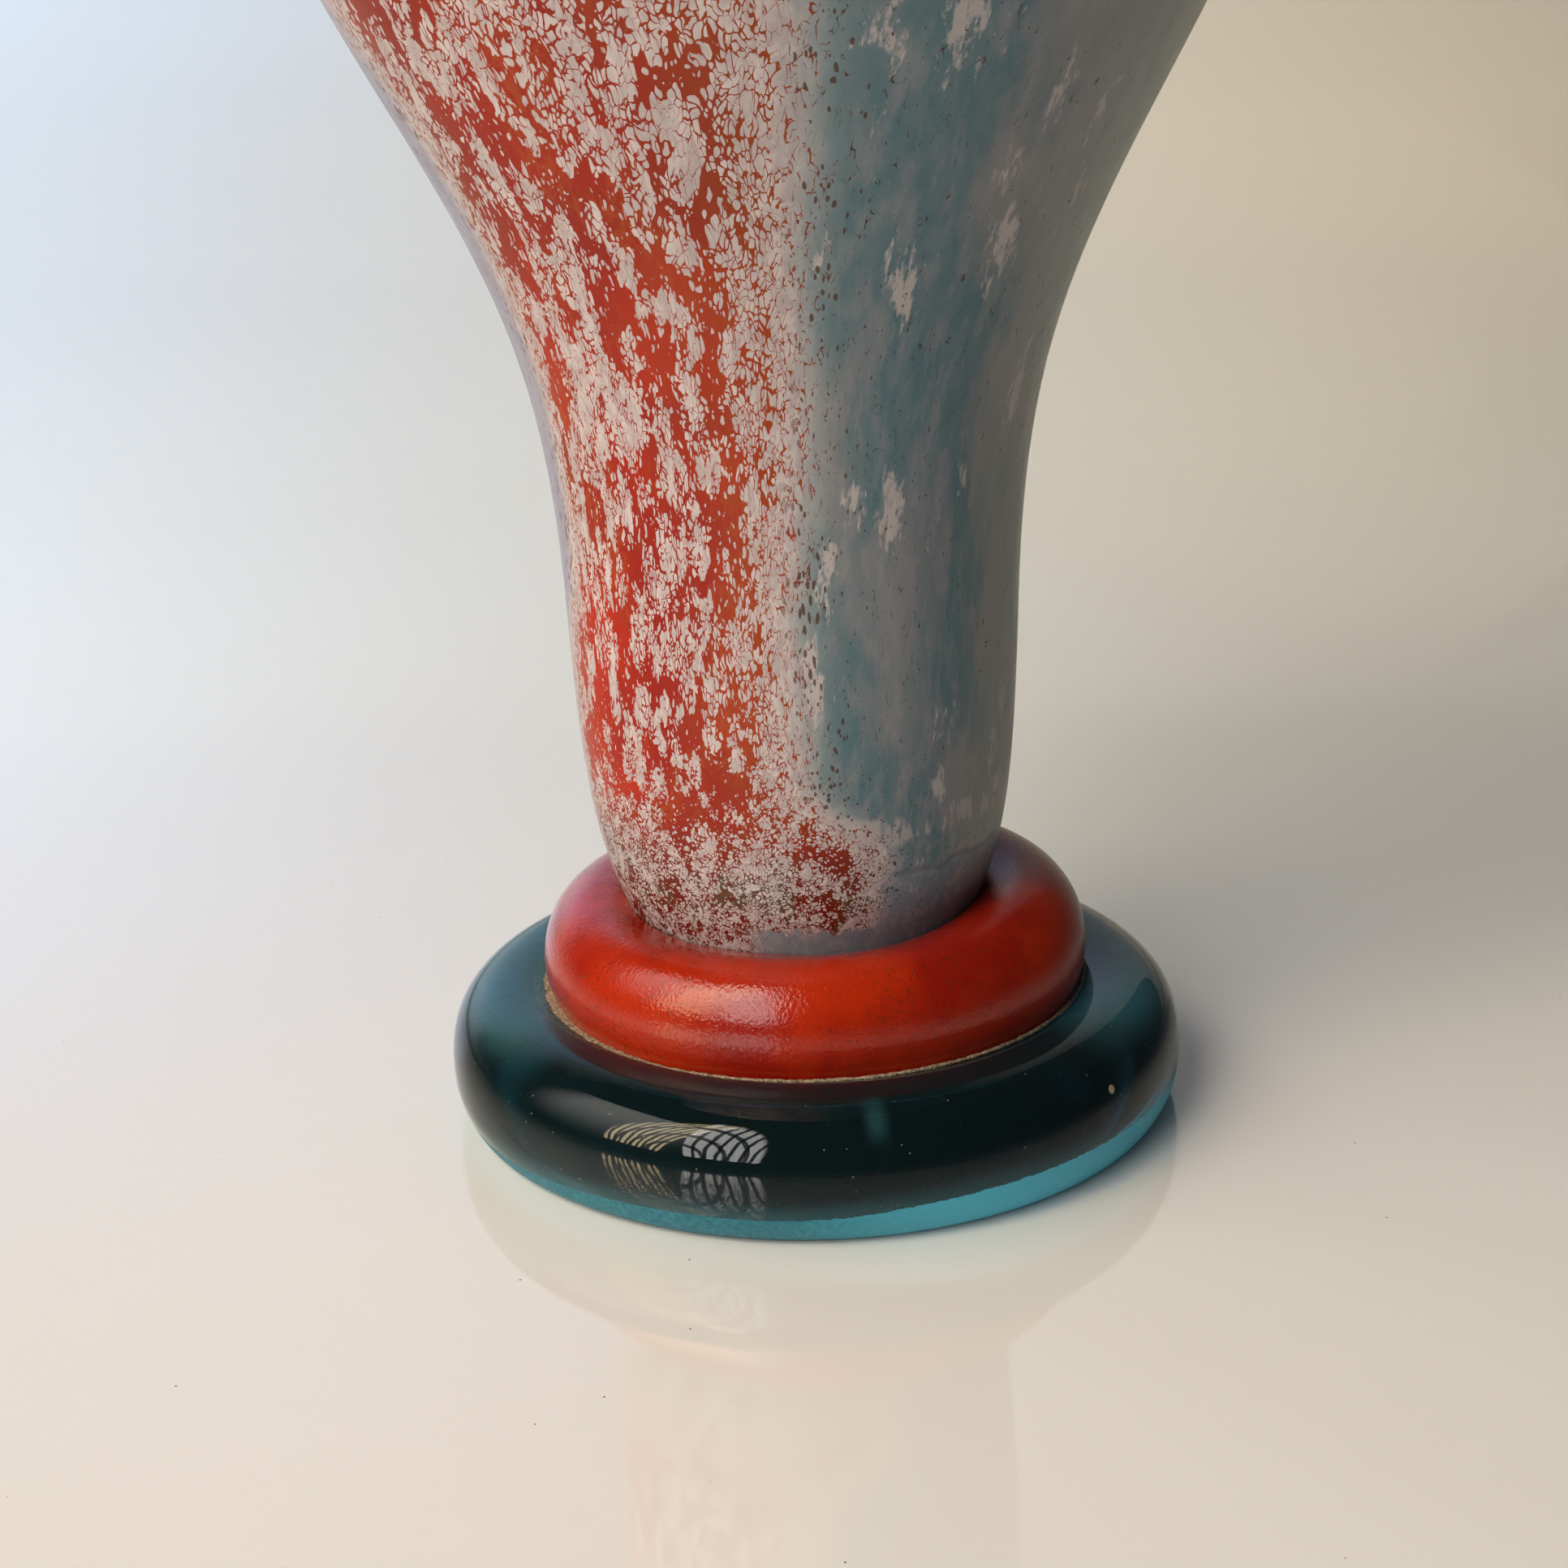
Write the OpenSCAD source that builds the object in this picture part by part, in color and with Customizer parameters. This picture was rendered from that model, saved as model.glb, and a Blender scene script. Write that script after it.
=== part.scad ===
// Footed art glass vase, built from three blown and pressed glass pieces that are bonded in a stack:
// a foot ring, a round collar let into the top of the foot, and a hollow vessel let into the collar.
// Every piece is turned about the Z axis. The foot stands on z = 0.

/* [Foot] */
// Largest radius of the foot
foot_r = 53.9; // [48:0.1:62]
// Radius of the flat ground face that the foot stands on
foot_base_r = 51; // [47:0.1:52]
// Height of the widest part of the foot
foot_waist_z = 7.8; // [6:0.1:9]
// How far the rounded edge reaches inwards to the crest
foot_edge_w = 9.7; // [8:0.1:11]
// Height of the crest above the face it stands on
foot_crest_z = 18.6; // [17.6:0.1:21]
// Fullness of the rounded edge, 2 is an ellipse and more is squarer
foot_fullness = 2.3; // [1.9:0.1:2.8]
// Bevel that breaks the ground edge
foot_bevel = 0.6; // [0.2:0.1:1]
// Radius of the polished hollow under the foot
punty_r = 34; // [26:0.5:38]
// Depth of the polished hollow
punty_depth = 1.6; // [0.5:0.1:3]

/* [Collar] */
// Largest radius of the collar
collar_r = 40; // [37:0.1:42]
// How far the rounded side of the collar reaches inwards to its crest
collar_edge_w = 9; // [8:0.1:11]
// Height of the collar from its widest part up to its crest
collar_rise = 10.4; // [8.5:0.1:13]
// Depth of the collar from its widest part down to its flat underside
collar_drop = 10.8; // [9.5:0.1:12]
// Height of the foot's seat under the collar
seat_z = 11.6; // [9:0.1:12]
// Angle below the widest part at which the collar meets the foot
collar_bed_angle = 27; // [22:1:34]
// Thickness of glass under the vessel's round bottom
collar_web = 5.8; // [4:0.1:8]
// Rounding of the collar's mouth where the vessel goes in, as an angle
collar_mouth_angle = 62; // [40:1:80]

/* [Vessel outside] */
// Radius where the vessel leaves the collar
stem_r = 25.4; // [23:0.1:28]
// Height of the round bottom that sits in the collar
heel_h = 11.8; // [10:0.1:14]
// Radius of the stem at its straightest place
waist_r = 31.8; // [28:0.1:36]
// Height from the round bottom to the straightest place of the stem
waist_h = 44.2; // [38:0.1:60]
// Radius where the flare is steepest
flare_r = 51.5; // [44:0.5:60]
// Height from the stem's straightest place to the steepest place of the flare
flare_h = 70; // [60:0.5:90]
// Radius of the belly
belly_r = 71; // [63:0.5:80]
// Height from the steepest place of the flare to the belly
belly_h = 62; // [50:0.5:80]
// Radius of the mouth, measured at the middle of the lip
mouth_r = 61; // [54:0.5:66]
// Height from the belly to the mouth
mouth_h = 46; // [36:0.5:60]

/* [Vessel slopes] */
// Outward lean of the wall where it leaves the collar, radius over height
stem_slope = 0.42; // [0.25:0.01:0.5]
// Outward lean at the stem's straightest place
waist_slope = 0.03; // [0:0.01:0.1]
// Outward lean at the steepest place of the flare
flare_slope = 0.54; // [0.45:0.01:0.65]
// Outward lean at the mouth, negative leans inwards
mouth_slope = -0.28; // [-0.45:0.01:-0.05]

/* [Vessel walls] */
// Thickness of glass at the middle of the bottom
floor_t = 14; // [9:0.5:18]
// Wall thickness at the stem
stem_wall = 4.6; // [3.5:0.1:6]
// Wall thickness at the flare
flare_wall = 3.8; // [3:0.1:5]
// Wall thickness at the belly
belly_wall = 3.2; // [2.5:0.1:4.5]
// Thickness of the fire polished lip
lip_wall = 3.6; // [2.5:0.1:5]
// Radius of the cavity's floor before it turns up into the stem
cavity_floor_r = 21; // [15:0.5:23]

/* [Bonds] */
// Thickness of the bond between two glass pieces
bond_t = 0.3; // [0.2:0.05:0.5]
// Angle of collar that the visible bead of the lower bond climbs
bead_climb = 5; // [3:0.5:8]
// How far the visible bead spreads over the foot
bead_spread = 0.9; // [0.4:0.1:1.5]
// How far the bead bulges
bead_bulge = 0.25; // [0.1:0.05:0.4]

/* [Hidden] */
$fn = 128;

// Points along each drawn curve
edge_steps = 16;
bed_steps = 12;
bead_steps = 5;
wall_steps = 20;
punty_steps = 6;

// Foot
foot_crest_r = foot_r - foot_edge_w;
foot_dish_turn = 20;
base_cut = pow((foot_base_r - foot_crest_r) / foot_edge_w, foot_fullness);
foot_under = foot_waist_z / pow(1 - base_cut, 1 / foot_fullness);

// Collar, stacked on the foot's seat
collar_under_z = seat_z + bond_t;
collar_waist_z = collar_under_z + collar_drop;
collar_crest_z = collar_waist_z + collar_rise;
collar_crest_r = collar_r - collar_edge_w;

// Vessel, stacked on the collar's web
vessel_z = collar_under_z + collar_web + bond_t;
stem_z = vessel_z + heel_h;
waist_z = stem_z + waist_h;
flare_z = waist_z + flare_h;
belly_z = flare_z + belly_h;
mouth_z = belly_z + mouth_h;

// Lengths of the curve handles, as shares of the stretch that they shape
heel_reach = 0.72;
heel_lift = 0.4;
stem_out = 0.25;
waist_in = 0.6;
waist_out = 0.45;
flare_in = 0.42;
flare_out = 0.31;
belly_in = 0.41;
belly_out = 0.42;
mouth_in = 0.4;
cavity_lift = 0.6;

// A point of a cubic curve, and the curve itself
function cubic(p, t) = pow(1 - t, 3) * p[0] + 3 * t * pow(1 - t, 2) * p[1]
    + 3 * t * t * (1 - t) * p[2] + pow(t, 3) * p[3];
function curve(p, steps) = [for (i = [0:steps]) cubic(p, i / steps)];

// Part of a full oval: centre, half width and height, fullness, first and last angle
function rounded(x, power) = sign(x) * pow(abs(x), power);
function oval(centre, half, fullness, from, to, steps) = [
    for (i = [0:steps])
        let (a = from + (to - from) * i / steps)
        centre + [half[0] * rounded(cos(a), 2 / fullness), half[1] * rounded(sin(a), 2 / fullness)]
];

// Arc from a level crest inwards and down to a lower point, turning through an angle
function crest_to(crest, end, turn, steps) = [
    for (i = [0:steps])
        let (a = turn * i / steps)
        [crest[0] - (crest[0] - end[0]) * sin(a) / sin(turn),
         crest[1] - (crest[1] - end[1]) * (1 - cos(a)) / (1 - cos(turn))]
];

function reversed(points) = [for (i = [len(points) - 1:-1:0]) points[i]];
function tail(points) = [for (i = [1:len(points) - 1]) points[i]];
function last(points) = points[len(points) - 1];

// Unit direction up a wall that leans outwards by a slope, and the normal that faces outwards
function along(slope) = [slope, 1] / norm([slope, 1]);
function outward(slope) = [1, -slope] / norm([slope, 1]);

// Underside of the collar, grown by a bond: from the angle where it is cut off to the seat's edge
function collar_bed(grow, from) = oval([collar_crest_r, collar_waist_z],
    [collar_edge_w + grow, collar_drop + grow], 2, -from, -90, bed_steps);

// Round bottom of the vessel, grown by a bond: from the axis up to where it leaves the collar
function heel(grow) =
    let (end = [stem_r + grow, stem_z], bottom = vessel_z - grow)
    curve([[0, bottom], [heel_reach * end[0], bottom], end - heel_lift * heel_h * along(stem_slope), end],
          bed_steps);

// One stretch of the vessel's wall between two stations, each a radius, height, slope and depth
function station(s) = [s[0], s[1]] - s[3] * outward(s[2]);
function stretch(a, b, out, in) =
    let (span = b[1] - a[1])
    curve([station(a), station(a) + out * span * along(a[2]),
           station(b) - in * span * along(b[2]), station(b)], wall_steps);

// The wall above the stem's straightest place, at a depth below the outside of each station
function upper_wall(waist_d, flare_d, belly_d, mouth_d) =
    let (waist = [waist_r, waist_z, waist_slope, waist_d],
         flare = [flare_r, flare_z, flare_slope, flare_d],
         belly = [belly_r, belly_z, 0, belly_d],
         mouth = [mouth_r, mouth_z, mouth_slope, mouth_d])
    concat(stretch(waist, flare, waist_out, flare_in),
           tail(stretch(flare, belly, flare_out, belly_in)),
           tail(stretch(belly, mouth, belly_out, mouth_in)));

// The wall from the collar up to the stem's straightest place
function lower_wall() = stretch([stem_r, stem_z, stem_slope, 0], [waist_r, waist_z, waist_slope, 0],
                                stem_out, waist_in);

// The cavity's floor and its turn up into the stem
function cavity_floor() =
    let (end = station([waist_r, waist_z, waist_slope, stem_wall]), z = vessel_z + floor_t)
    curve([[0, z], [cavity_floor_r, z],
           end - cavity_lift * (end[1] - z) * along(waist_slope), end], wall_steps);

// Where the lower bond comes out between the collar and the foot
dish_lip = collar_bed(bond_t, collar_bed_angle)[0];
bead_top = collar_bed(0, collar_bed_angle - bead_climb)[0];
dish = reversed(crest_to([foot_crest_r, foot_crest_z], dish_lip, foot_dish_turn, edge_steps));

// Foot: ground base with a polished hollow, full rounded edge, shallow dish and the collar's seat
module foot() {
    hollow = [for (i = [0:punty_steps])
        let (share = i / punty_steps) [punty_r * share, punty_depth * (1 - share * share)]];
    side = oval([foot_crest_r, foot_waist_z], [foot_edge_w, foot_under], foot_fullness, -90, 0, edge_steps);
    above_base = [for (p = side) if (p[1] > foot_bevel) p];
    crown = oval([foot_crest_r, foot_waist_z], [foot_edge_w, foot_crest_z - foot_waist_z],
                 foot_fullness, 0, 90, edge_steps);
    color("darkslategray")
        rotate_extrude()
            polygon(concat(hollow, [[foot_base_r - foot_bevel, 0]], above_base, tail(crown),
                           tail(reversed(dish)), tail(collar_bed(bond_t, collar_bed_angle)),
                           [[0, seat_z]]));
}

// Lower bond: a thin layer under the collar that ends in a small rough bead on the foot
module lower_bond() {
    spread_end = [for (p = dish) if (p[0] < dish_lip[0] + bead_spread) p];
    toe = last(spread_end);
    bulge = [for (i = [1:bead_steps - 1])
        let (share = i / bead_steps, swell = bead_bulge * sin(180 * share))
        bead_top + (toe - bead_top) * share + swell * [1, 1]];
    color("tan")
        rotate_extrude()
            polygon(concat([[0, seat_z]], reversed(collar_bed(bond_t, collar_bed_angle)),
                           tail(spread_end), reversed(bulge), collar_bed(0, collar_bed_angle - bead_climb),
                           [[0, collar_under_z]]));
}

// Collar: a pressed ring of solid glass, cupped on top for the vessel's round bottom
module collar() {
    crest = [collar_crest_r, collar_crest_z];
    crown = oval([collar_crest_r, collar_waist_z], [collar_edge_w, collar_rise], 2, 0, 90, edge_steps);
    side = reversed(oval([collar_crest_r, collar_waist_z], [collar_edge_w, collar_drop], 2,
                         0, -(collar_bed_angle - bead_climb), bead_steps));
    color("orangered")
        rotate_extrude()
            polygon(concat([[0, collar_under_z]], reversed(collar_bed(0, collar_bed_angle - bead_climb)),
                           tail(side), tail(crown),
                           tail(crest_to(crest, last(heel(bond_t)), collar_mouth_angle, bed_steps)),
                           tail(reversed(heel(bond_t)))));
}

// Upper bond: a thin clear layer between the collar's cup and the vessel's round bottom
module upper_bond() {
    color("lightsteelblue")
        rotate_extrude()
            polygon(concat(heel(bond_t), reversed(heel(0))));
}

// Vessel: a thick blown shell with a solid round bottom, a stem, a flare, a belly and a round lip
module vessel() {
    outer = concat(heel(0), tail(lower_wall()), tail(upper_wall(0, 0, 0, 0)));
    cavity = concat(cavity_floor(), tail(upper_wall(stem_wall, flare_wall, belly_wall, lip_wall)));
    lip_centre = (last(outer) + last(cavity)) / 2;
    lip = [for (i = [1:edge_steps - 1])
        let (a = 180 * i / edge_steps)
        lip_centre + lip_wall / 2 * (cos(a) * outward(mouth_slope) + sin(a) * along(mouth_slope))];
    color("indianred")
        rotate_extrude()
            polygon(concat(outer, lip, reversed(cavity)));
}

foot();
lower_bond();
collar();
upper_bond();
vessel();
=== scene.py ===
import math

import bmesh
import bpy
from mathutils import Matrix, Vector, noise


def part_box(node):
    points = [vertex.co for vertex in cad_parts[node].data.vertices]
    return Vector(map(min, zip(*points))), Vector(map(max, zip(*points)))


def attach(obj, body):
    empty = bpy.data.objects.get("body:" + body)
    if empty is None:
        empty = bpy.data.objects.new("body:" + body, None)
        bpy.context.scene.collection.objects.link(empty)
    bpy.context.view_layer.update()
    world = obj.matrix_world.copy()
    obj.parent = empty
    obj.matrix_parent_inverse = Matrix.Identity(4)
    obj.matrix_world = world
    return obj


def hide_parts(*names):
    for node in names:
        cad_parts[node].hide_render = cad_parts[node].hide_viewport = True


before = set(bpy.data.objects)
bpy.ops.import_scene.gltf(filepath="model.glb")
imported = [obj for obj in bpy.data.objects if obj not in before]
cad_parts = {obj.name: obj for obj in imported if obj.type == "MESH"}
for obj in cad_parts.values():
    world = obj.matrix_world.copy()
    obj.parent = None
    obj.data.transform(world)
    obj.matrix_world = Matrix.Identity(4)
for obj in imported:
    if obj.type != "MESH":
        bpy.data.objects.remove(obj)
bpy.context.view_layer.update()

MM = 0.001
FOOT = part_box("foot")
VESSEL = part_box("vessel")
FOOT_R = (FOOT[1].x - FOOT[0].x) / 2

# Hand work: how far the upper pieces sit off the foot's axis, how far the vessel leans from the
# middle of its stem, and how far the collar is off level
VESSEL_SHIFT = Vector((-1.4 * MM, 0, 0))
VESSEL_LEAN = math.radians(0.5)
STEM_HEIGHT = 65 * MM
COLLAR_SHIFT = Vector((0.3 * MM, 0, 0))
COLLAR_TILT = math.radians(1.2)

# The collar besides its turned outline: the bond line's depth below the widest ring, how far the
# skirt under it is sunk into the bond, and how far the crest sags towards the front left
SKIRT_TOP = 4.6 * MM
SKIRT_SUNK = 0.9 * MM
CREST_SAG = 1.3 * MM
FRONT_LEFT = Vector((-0.26, -0.97, 0))
LEFT = Vector((-0.87, -0.5, 0))

# The camera, with lengths in foot radii and angles in radians
CAMERA_BACK = 6.229
CAMERA_UP = 2.894
CAMERA_LENS = 55.9
CAMERA_PITCH = 0.3147
CAMERA_YAW = -0.0106
CAMERA_ROLL = -0.0307

# The two red panels of the vessel: the way one faces, and half its width
PANEL_TURN = math.radians(-129)
PANEL_HALF = math.radians(40)

# The vessel's wall in millimetres: the radius it is unrolled at, the height where the grains begin
# to be drawn out upwards, and the heights of the pale dashes and of the painted shade line at its
# heel
WALL_R = 30.0
DRAWN_FROM = 54.0
DASHES_AT = 48.5
CREASE_SHADE_AT = 42.0

# A small chip in the foot's shoulder, in millimetres
CHIP = (39.9, -34.9, 13.3)

# How many bars a wave texture of scale 1 has to the unit
WAVE_BARS = 3.2

# Steps round the axis in a turned piece, and round and across the bead
TURNS = 256
BEAD_TURNS = 720
BEAD_STEPS = 10


# ---------------------------------------------------------------- shapes

def section(node):
    """Half outline of a turned CAD node, cut at y = 0, as (radius, height) pairs from the axis
    below round to the axis above."""
    cut = bmesh.new()
    cut.from_mesh(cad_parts[node].data)
    bmesh.ops.remove_doubles(cut, verts=cut.verts, dist=0.002 * MM)
    found = bmesh.ops.bisect_plane(
        cut, geom=cut.verts[:] + cut.edges[:] + cut.faces[:], dist=0.005 * MM,
        plane_co=(0, 0, 0), plane_no=(0, 1, 0))["geom_cut"]
    edges = [e for e in found if isinstance(e, bmesh.types.BMEdge)]
    edges = [e for e in edges if min(v.co.x for v in e.verts) > -0.01 * MM]
    links = {}
    for e in edges:
        for here, there in (e.verts, reversed(e.verts)):
            links.setdefault(here, []).append(there)
    ends = sorted((v for v in links if len(links[v]) == 1), key=lambda v: v.co.z)
    outline, last, here = [], None, ends[0]
    while here is not None:
        outline.append((max(here.co.x, 0.0), here.co.z))
        onward = [v for v in links[here] if v is not last]
        last, here = here, onward[0] if onward else None
    cut.free()
    return outline


def spaced(outline, gap):
    """The outline without points that lie closer together than gap."""
    kept = [outline[0]]
    for point in outline[1:]:
        if math.dist(point, kept[-1]) >= gap:
            kept.append(point)
    return kept


def smooth_step(low, high, value):
    share = min(max((value - low) / (high - low), 0.0), 1.0)
    return share * share * (3 - 2 * share)


def outward(point):
    """The level direction from the axis to a point."""
    return Vector((point.x, point.y, 0)).normalized()


def upward(height):
    return Vector((0, 0, height))


def wander(point, size, depth, seed):
    """A slow random swell of a hand-made surface."""
    return depth * noise.noise(point / size + Vector((seed, 2 * seed, 3 * seed)))


def add_object(name, mesh, slot, *materials):
    piece = bpy.data.objects.new(name, mesh)
    bpy.context.scene.collection.objects.link(piece)
    for material in materials:
        mesh.materials.append(material)
    for face in mesh.polygons:
        face.use_smooth = True
    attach(piece, "root")
    return piece


def turned(name, outline, place, slot, *materials, second=None):
    """A closed mesh turned from an outline that starts and ends at the axis. place(point) moves
    each point, and second(radius, height) picks the faces that take the second material."""
    mesh = bpy.data.meshes.new(name)
    shape = bmesh.new()
    rings = []
    for radius, height in outline:
        if radius < 0.3 * MM:
            rings.append([shape.verts.new(place(upward(height)))])
            continue
        ring = []
        for i in range(TURNS):
            angle = math.tau * i / TURNS
            point = Vector((radius * math.cos(angle), radius * math.sin(angle), height))
            ring.append(shape.verts.new(place(point)))
        rings.append(ring)
    for index in range(len(rings) - 1):
        below, above = rings[index], rings[index + 1]
        middle = [(a + b) / 2 for a, b in zip(outline[index], outline[index + 1])]
        slot_index = 1 if second and second(*middle) else 0
        for i in range(TURNS):
            j = (i + 1) % TURNS
            corners = [below[i % len(below)], below[j % len(below)],
                       above[j % len(above)], above[i % len(above)]]
            corners = list(dict.fromkeys(corners))
            if len(corners) > 2:
                shape.faces.new(corners).material_index = slot_index
    if len(rings[0]) > 1:
        shape.faces.new(list(reversed(rings[0])))
    if len(rings[-1]) > 1:
        shape.faces.new(rings[-1])
    bmesh.ops.recalc_face_normals(shape, faces=shape.faces)
    shape.to_mesh(mesh)
    shape.free()
    return add_object(name, mesh, slot, *materials)


# ---------------------------------------------------------------- building nodes

def rgb(red, green, blue):
    """A colour picked as 0-255 screen values, as the linear colour that shaders take."""
    def linear(value):
        value /= 255
        return value / 12.92 if value <= 0.04045 else ((value + 0.055) / 1.055) ** 2.4
    return (linear(red), linear(green), linear(blue), 1.0)


class Nodes:
    """Short names for building the nodes of a material or a light."""

    def __init__(self, tree):
        self.tree = tree

    def node(self, kind, inputs=(), **settings):
        made = self.tree.nodes.new(kind)
        for key, value in settings.items():
            setattr(made, key, value)
        for key, value in dict(inputs).items():
            self.feed(made.inputs[key], value)
        return made

    def feed(self, socket, value):
        if isinstance(value, bpy.types.NodeSocket):
            self.tree.links.new(value, socket)
        else:
            socket.default_value = value

    def math(self, operation, a, b=0.0, c=0.0, clamp=False):
        return self.node("ShaderNodeMath", {0: a, 1: b, 2: c}, operation=operation,
                         use_clamp=clamp).outputs[0]

    def add(self, a, b, clamp=False):
        return self.math("ADD", a, b, clamp=clamp)

    def less(self, a, b):
        return self.math("SUBTRACT", a, b)

    def times(self, a, b):
        return self.math("MULTIPLY", a, b)

    def most(self, a, b):
        return self.math("MAXIMUM", a, b)

    def least(self, a, b):
        return self.math("MINIMUM", a, b)

    def absolute(self, a):
        return self.math("ABSOLUTE", a)

    def swing(self, a):
        """A value from 0 to 1 as one from -0.5 to 0.5."""
        return self.math("SUBTRACT", a, 0.5)

    def vector(self, operation, a, b=(0, 0, 0)):
        made = self.node("ShaderNodeVectorMath", {0: a, 1: b}, operation=operation)
        return made.outputs["Value" if operation in ("LENGTH", "DOT_PRODUCT") else "Vector"]

    def dot(self, a, b):
        return self.vector("DOT_PRODUCT", a, b)

    def length(self, a):
        return self.vector("LENGTH", a)

    def scaled(self, vector, amount):
        return self.node("ShaderNodeVectorMath", {0: vector, "Scale": amount},
                         operation="SCALE").outputs["Vector"]

    def moved(self, vector, shift, amount):
        return self.vector("ADD", vector, self.scaled(shift, amount))

    def join(self, x, y, z):
        return self.node("ShaderNodeCombineXYZ", {0: x, 1: y, 2: z}).outputs[0]

    def split(self, vector):
        return self.node("ShaderNodeSeparateXYZ", {0: vector}).outputs

    def place(self):
        """Where the surface is, in millimetres."""
        return self.scaled(self.node("ShaderNodeTexCoord").outputs["Object"], 1 / MM)

    def noise(self, where, scale, detail=2.0, roughness=0.5, colour=False):
        made = self.node("ShaderNodeTexNoise", {"Vector": where, "Scale": scale,
                                                "Detail": detail, "Roughness": roughness})
        return made.outputs["Color" if colour else "Fac"]

    def cells(self, where, scale):
        """Distance to the nearest cell centre, 0 at the centre."""
        return self.node("ShaderNodeTexVoronoi",
                         {"Vector": where, "Scale": scale}).outputs["Distance"]

    def grains(self, where, scale):
        """Cells, as the distance to their edge, their centre, a chance from 0 to 1 for each, and
        the distance to their centre."""
        inputs = {"Vector": where, "Scale": scale}
        near = self.node("ShaderNodeTexVoronoi", inputs).outputs
        edge = self.node("ShaderNodeTexVoronoi", inputs, feature="DISTANCE_TO_EDGE").outputs
        return edge["Distance"], near["Position"], self.split(near["Color"])[0], near["Distance"]

    def blend(self, share, a, b):
        return self.node("ShaderNodeMix", {0: share, 2: a, 3: b}).outputs[0]

    def mix(self, share, a, b):
        """The colour a, and b where share is 1."""
        made = self.node("ShaderNodeMix", data_type="RGBA")
        self.feed(made.inputs[0], share)
        self.feed(made.inputs[6], a)
        self.feed(made.inputs[7], b)
        return made.outputs[2]

    def ramp(self, value, low, high, to_low=0.0, to_high=1.0, kind="SMOOTHSTEP"):
        """From to_low at the value low to to_high at the value high, and level beyond them."""
        return self.node("ShaderNodeMapRange",
                         {"Value": value, "From Min": low, "From Max": high, "To Min": to_low,
                          "To Max": to_high}, interpolation_type=kind).outputs["Result"]


class Paint(Nodes):
    """A material with its shader."""

    def __init__(self, name):
        self.material = bpy.data.materials.new(name)
        self.material.use_nodes = True
        super().__init__(self.material.node_tree)
        self.shader = self.tree.nodes["Principled BSDF"]
        self.output = self.tree.nodes["Material Output"]

    def bump(self, height, distance, strength=1.0):
        return self.node("ShaderNodeBump", {"Height": height, "Distance": distance,
                                            "Strength": strength}).outputs["Normal"]

    def set(self, **values):
        names = {"colour": "Base Color", "roughness": "Roughness", "normal": "Normal",
                 "ior": "IOR", "coat": "Coat Weight", "coat_roughness": "Coat Roughness",
                 "coat_normal": "Coat Normal", "clear": "Transmission Weight",
                 "specular": "Specular IOR Level"}
        for key, value in values.items():
            self.feed(self.shader.inputs[names[key]], value)


# ---------------------------------------------------------------- the vessel's glass

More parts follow.
